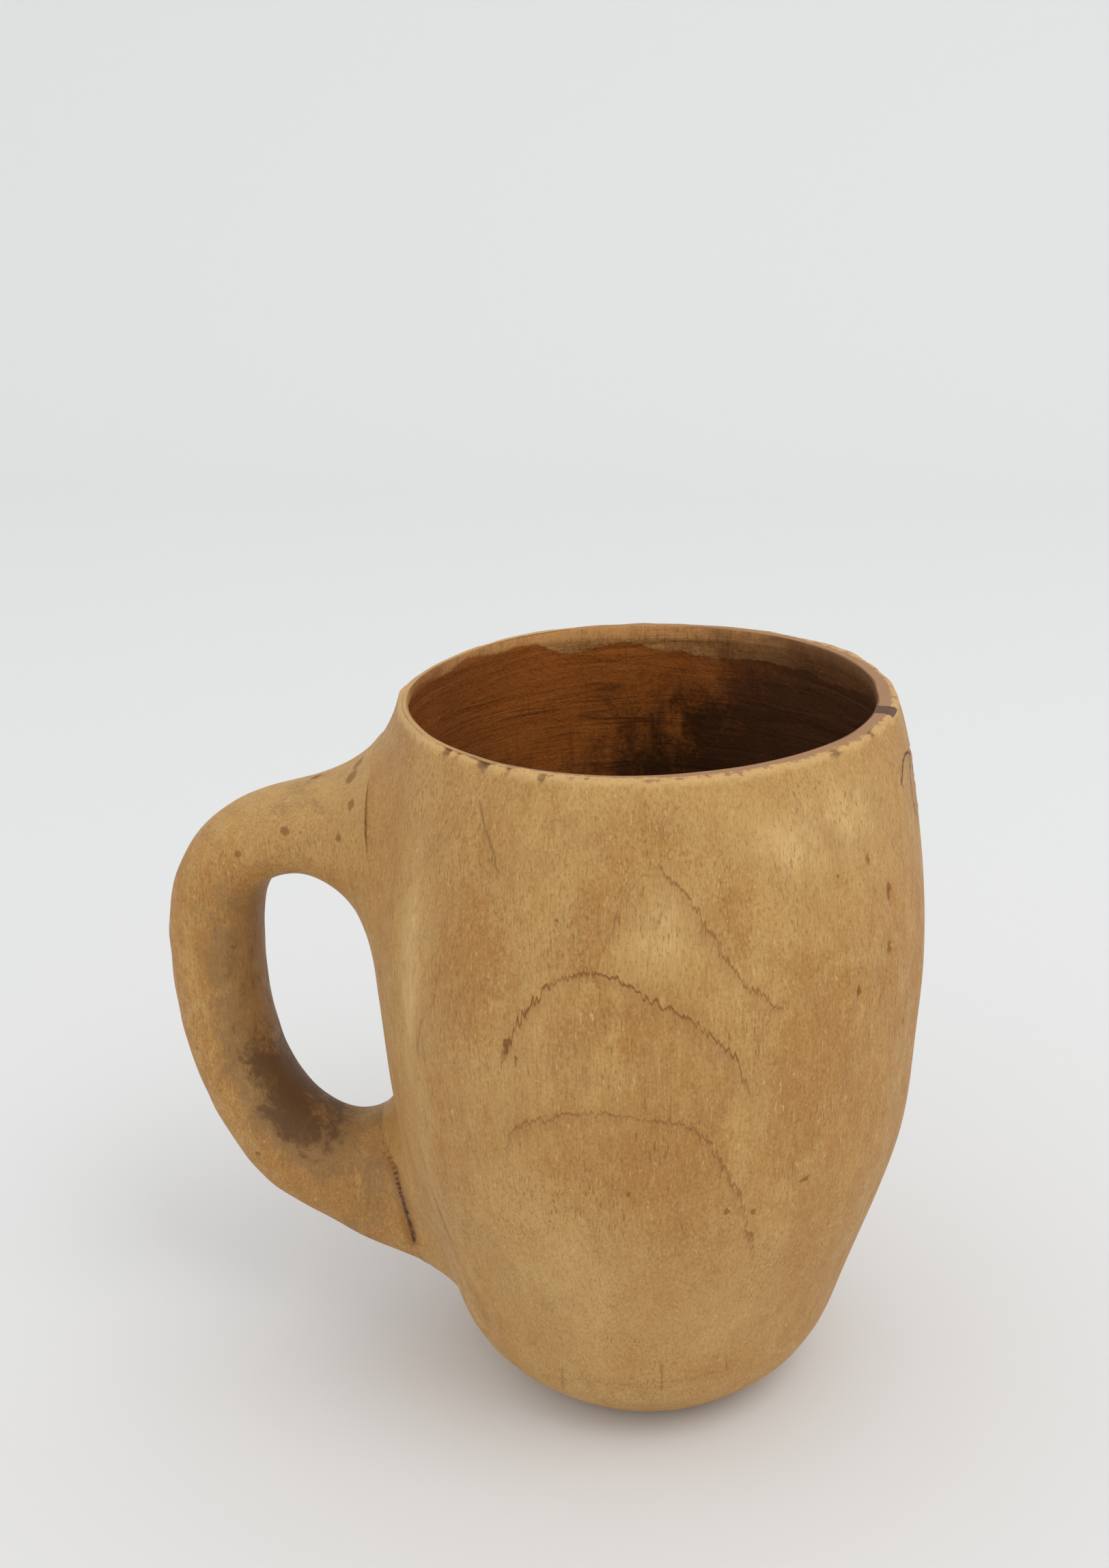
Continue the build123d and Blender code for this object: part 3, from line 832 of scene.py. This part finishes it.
def bodyPaint():
    material, tree, where = newPaint("bodyWood")
    # the tone field carries painted light and shade as well as the wood's own patches
    colour, roughness, relief = bareWood(tree, where, field(tree, "tone"))

    # growth lines: thin, jagged, with a brown shade on their lower side
    jag = total(tree, calc(tree, "MULTIPLY", speckle(tree, where, 0.55, 1.0, along=9), 2.6),
                calc(tree, "MULTIPLY", speckle(tree, where, 2.5, 2.0, along=3), 1.6), -2.1)
    fromLine = total(tree, field(tree, "growth"), jag)
    near = calc(tree, "ABSOLUTE", fromLine)
    here = calc(tree, "MULTIPLY", field(tree, "growthHere"),
                ease(tree, speckle(tree, where, 6.0), 0.30, 0.50, 0.60, 1.0))
    shade = calc(tree, "MULTIPLY", ease(tree, near, 3.2, 0.2),
                 ease(tree, fromLine, 0.3, -0.3, 0.25, 1.0))
    colour = coat(tree, calc(tree, "MULTIPLY", calc(tree, "MULTIPLY", shade, 0.34), here), colour,
                  wood["ring"])
    line = calc(tree, "MULTIPLY", ease(tree, near, 0.34, 0.08), here)
    colour = coat(tree, calc(tree, "MULTIPLY", line, 0.95), colour, wood["line"])

    # checks: hairline cracks
    waver = calc(tree, "MULTIPLY", total(tree, speckle(tree, where, 1.2, 2.0, along=2), -0.5), 0.8)
    nearCheck = calc(tree, "ABSOLUTE", total(tree, field(tree, "check"), waver))
    checkHere = field(tree, "checkHere")
    split = calc(tree, "MULTIPLY", ease(tree, nearCheck, 0.26, 0.08), checkHere)
    beside = calc(tree, "MULTIPLY", ease(tree, nearCheck, 0.9, 0.1, 0.0, 0.30), checkHere)
    colour = coat(tree, beside, colour, wood["line"])
    colour = coat(tree, calc(tree, "MULTIPLY", split, 0.9), colour, wood["crack"])
    relief = total(tree, relief, calc(tree, "MULTIPLY", split, -0.3), calc(tree, "MULTIPLY", line, -0.05))

    # dents: ragged brown spots
    dented = total(tree, field(tree, "dented"),
                   calc(tree, "MULTIPLY", total(tree, speckle(tree, where, 0.8, 2.0), -0.5), 1.3))
    colour = coat(tree, ease(tree, dented, 0.42, 0.75, 0.0, 0.8), colour, wood["line"])
    colour = coat(tree, ease(tree, dented, 0.95, 1.20, 0.0, 0.8), colour, wood["crack"])

    # dark edge of the knot
    fromKnot = total(tree, field(tree, "fromKnot"),
                     calc(tree, "MULTIPLY", total(tree, speckle(tree, where, 1.6, 2.0), -0.5), 1.6))
    colour = coat(tree, ease(tree, fromKnot, 2.4, 0.3, 0.0, 0.4), colour, wood["ring"])
    bark = calc(tree, "MULTIPLY", ease(tree, fromKnot, 0.45, 0.0, 0.0, 0.9), field(tree, "knotTop"))
    colour = coat(tree, bark, colour, stain["bark"])

    colour = seamPaint(tree, where, colour)

    # mouth: a worn pale edge, a brown top, dark chips
    fray = calc(tree, "MULTIPLY", total(tree, speckle(tree, where, 1.4, 3.0, 0.65), -0.5), 2.2)
    fromEdge = total(tree, field(tree, "fromEdge"), fray)
    colour = coat(tree, ease(tree, fromEdge, -1.6, -0.3, 0.0, 0.5), colour, wood["pale"])
    parts = tree.nodes.new("ShaderNodeSeparateXYZ")
    feed(tree, parts.inputs[0], where)
    fromAxis = total(tree, parts.outputs[0], calc(tree, "MULTIPLY", fray, 5))
    handled = ease(tree, fromAxis, -34, -12, 0.30, 1.0)  # worn paler beside the handle
    top = calc(tree, "MULTIPLY", ease(tree, fromEdge, -0.1, 0.25), handled)
    colour = coat(tree, top, colour, stain["rimTop"])
    burnt = total(tree, field(tree, "burn"), calc(tree, "MULTIPLY", fray, 0.18))
    colour = coat(tree, ease(tree, burnt, 0.45, 0.62, 0.0, 0.88), colour, stain["bark"])
    chipped = calc(tree, "MULTIPLY", field(tree, "chipped"), ease(tree, fray, -0.5, 0.4, 0.5, 1.3))
    colour = coat(tree, ease(tree, chipped, 0.18, 0.45, 0.0, 0.75), colour, stain["chip"])

    inside = field(tree, "hollow")
    # the hollow's colour: stain, with painted shade towards +X
    dark, innerRelief = hollowPaint(tree, where)
    colour = coat(tree, inside, colour, dark)
    relief = total(tree, relief, calc(tree, "MULTIPLY", innerRelief, inside))
    finishPaint(tree, colour, roughness, relief, ease(tree, inside, 0.0, 1.0, 0.22, 0.08))
    return material


def handlePaint():
    material, tree, where = newPaint("handleWood")
    parts = tree.nodes.new("ShaderNodeSeparateXYZ")
    feed(tree, parts.inputs[0], where)
    tone = ease(tree, parts.outputs[2], 92, 112, -0.35, 0.40)  # paler higher up, darker low down
    colour, roughness, relief = bareWood(tree, where, tone, 0.4)
    patch = total(tree, speckle(tree, where, 6.0, 5.0, 0.70, 0.8, along=1.3), -0.5)
    fine = total(tree, speckle(tree, where, 1.2, 3.0, 0.7), -0.5)
    # darker where dirty, and painted shade on the face towards the body and in its lower inner corner
    dirtAndShade = total(tree, field(tree, "grimeAndShade"), calc(tree, "MULTIPLY", patch, 1.9),
                  calc(tree, "MULTIPLY", fine, 0.8))
    colour = coat(tree, ease(tree, dirtAndShade, 0.10, 0.75, 0.0, 0.60), colour, wood["grimeAndShade"])
    colour = coat(tree, ease(tree, dirtAndShade, 0.75, 1.35, 0.0, 0.80), colour, wood["darkestGrimeAndShade"])
    dented = total(tree, field(tree, "dented"), calc(tree, "MULTIPLY", fine, 0.5))
    colour = coat(tree, ease(tree, dented, 0.25, 0.60, 0.0, 0.75), colour, wood["line"])
    colour = coat(tree, ease(tree, dented, 1.0, 1.3, 0.0, 0.9), colour, wood["crack"])
    spots = ease(tree, speckle(tree, where, 2.6, 2.0, 0.5, 0.5), 0.70, 0.80, 0.0, 0.55)
    colour = coat(tree, spots, colour, wood["line"])
    colour = seamPaint(tree, where, colour)
    finishPaint(tree, colour, roughness, relief)
    return material


def knotPaint():
    # rings round the knot's own middle, darker at its edge, most of all on top
    material, tree, where = newPaint("knotWood")
    parts = tree.nodes.new("ShaderNodeSeparateXYZ")
    feed(tree, parts.inputs[0], where)
    fromMiddle = field(tree, "fromMiddle")
    waver = speckle(tree, where, 3.0, 3.0, 0.6, 0.6)
    wander = calc(tree, "MULTIPLY", speckle(tree, where, 5.0, 3.0, 0.6, 0.6), 2.4)
    band = calc(tree, "FRACT", total(tree, calc(tree, "MULTIPLY", fromMiddle, 4.0), wander))
    ring = calc(tree, "MULTIPLY", ease(tree, band, 0.3, 0.9), ease(tree, band, 1.0, 0.92, 0.0, 0.6))
    colour = coat(tree, ring, stain["knot"], stain["knotRing"])
    colour = coat(tree, ease(tree, speckle(tree, where, 0.7, 3.0, 0.7), 0.5, 0.75, 0.0, 0.5), colour,
                  stain["bark"])
    edge = ease(tree, total(tree, fromMiddle, calc(tree, "MULTIPLY", waver, 0.25)), 0.98, 1.10, 0.0, 0.85)
    high = ease(tree, parts.outputs[2], knot["middle"] / mm - 1, knot["middle"] / mm + 4, 0.25, 1.0)
    colour = coat(tree, calc(tree, "MULTIPLY", edge, high), colour, stain["bark"])
    colour = coat(tree, field(tree, "hollow"), colour, stain["deep"])
    relief = calc(tree, "MULTIPLY", waver, 0.15)
    finishPaint(tree, colour, 0.5, relief)
    return material


pieces = [
    (makeBody, bodyPaint, "body", "body_wood"),
    (makeHandle, handlePaint, "handle", "handle_wood"),
    (makeKnot, knotPaint, "wall_knot", "knot_wood"),
]
for make, paint, node, slotName in pieces:
    piece = make()
    piece.data.materials.append(paint())
    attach(piece, "root")
    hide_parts(node)
    print("made", piece.name, "with", len(piece.data.polygons), "faces")


studio = {
    "floorBack": 0.75,
    "floorCurve": 0.5,
    "wallHeight": 1.4,
    "halfWidth": 2.0,
    "floorColour": colourOf(0.80, 0.80, 0.79),
    "skyColour": colourOf(0.970, 0.982, 1.0),
    "skyStrength": 0.93,
    "windowAt": (0.7, -0.45, 1.40),
    "windowSize": 0.9,
    "windowWatts": 5.0,
}


def makeStudio():
    # floor that curves up into a wall behind
    turn = np.radians(np.linspace(0, 90, 25))
    back, curve = studio["floorBack"], studio["floorCurve"]
    profile = [(-2.0, 0.0)] + [(back + curve * math.sin(t), curve * (1 - math.cos(t))) for t in turn]
    profile += [(back + curve, studio["wallHeight"])]
    half = studio["halfWidth"]
    points = [(side * half, y, z) for y, z in profile for side in (-1, 1)]
    faces = [(2 * i, 2 * i + 1, 2 * i + 3, 2 * i + 2) for i in range(len(profile) - 1)]
    mesh = bpy.data.meshes.new("floor")
    mesh.from_pydata(points, [], faces)
    mesh.polygons.foreach_set("use_smooth", np.ones(len(faces), bool))
    floor = bpy.data.objects.new("floor", mesh)
    bpy.context.scene.collection.objects.link(floor)
    material = bpy.data.materials.new("paleFloor")
    material.use_nodes = True
    shader = material.node_tree.nodes["Principled BSDF"]
    shader.inputs["Base Color"].default_value = studio["floorColour"]
    shader.inputs["Roughness"].default_value = 0.95
    shader.inputs["Specular IOR Level"].default_value = 0.1
    mesh.materials.append(material)

    world = bpy.data.worlds.new("softSky")
    bpy.context.scene.world = world
    world.use_nodes = True
    sky = world.node_tree.nodes["Background"]
    sky.inputs["Color"].default_value = studio["skyColour"]
    sky.inputs["Strength"].default_value = studio["skyStrength"]

    light = bpy.data.lights.new("window", "AREA")
    light.shape, light.size, light.energy = "DISK", studio["windowSize"], studio["windowWatts"]
    window = bpy.data.objects.new("window", light)
    x, y, z = studio["windowAt"]
    aim = math.atan2(math.hypot(x, y), z - 0.06)
    window.matrix_world = (Matrix.Translation((x, y, z)) @ Matrix.Rotation(math.atan2(x, -y), 4, "Z")
                           @ Matrix.Rotation(aim, 4, "X"))
    bpy.context.scene.collection.objects.link(window)
    bpy.context.scene.view_settings.view_transform = "Standard"


eye = {
    "away": 2.256 * height,  # level distance from the body's axis
    "up": 1.736 * height,
    "round": 8.0,  # degrees from -Y towards +X
    "heading": 10.975,
    "down": 20.888,
    "roll": -1.765,
    "lens": 42.335,
    "film": 36.0,
}


def makeCamera():
    camera = bpy.data.cameras.new("eye")
    camera.lens, camera.sensor_width = eye["lens"], eye["film"]
    camera.clip_start = 0.01
    viewer = bpy.data.objects.new("eye", camera)
    turn = math.radians(eye["round"])
    place = (eye["away"] * math.sin(turn), -eye["away"] * math.cos(turn), eye["up"])
    viewer.matrix_world = (Matrix.Translation(place)
                           @ Matrix.Rotation(math.radians(eye["heading"]), 4, "Z")
                           @ Matrix.Rotation(math.radians(90 - eye["down"]), 4, "X")
                           @ Matrix.Rotation(math.radians(eye["roll"]), 4, "Z"))
    bpy.context.scene.collection.objects.link(viewer)
    bpy.context.scene.camera = viewer


makeStudio()
makeCamera()
print("studio and camera ready")
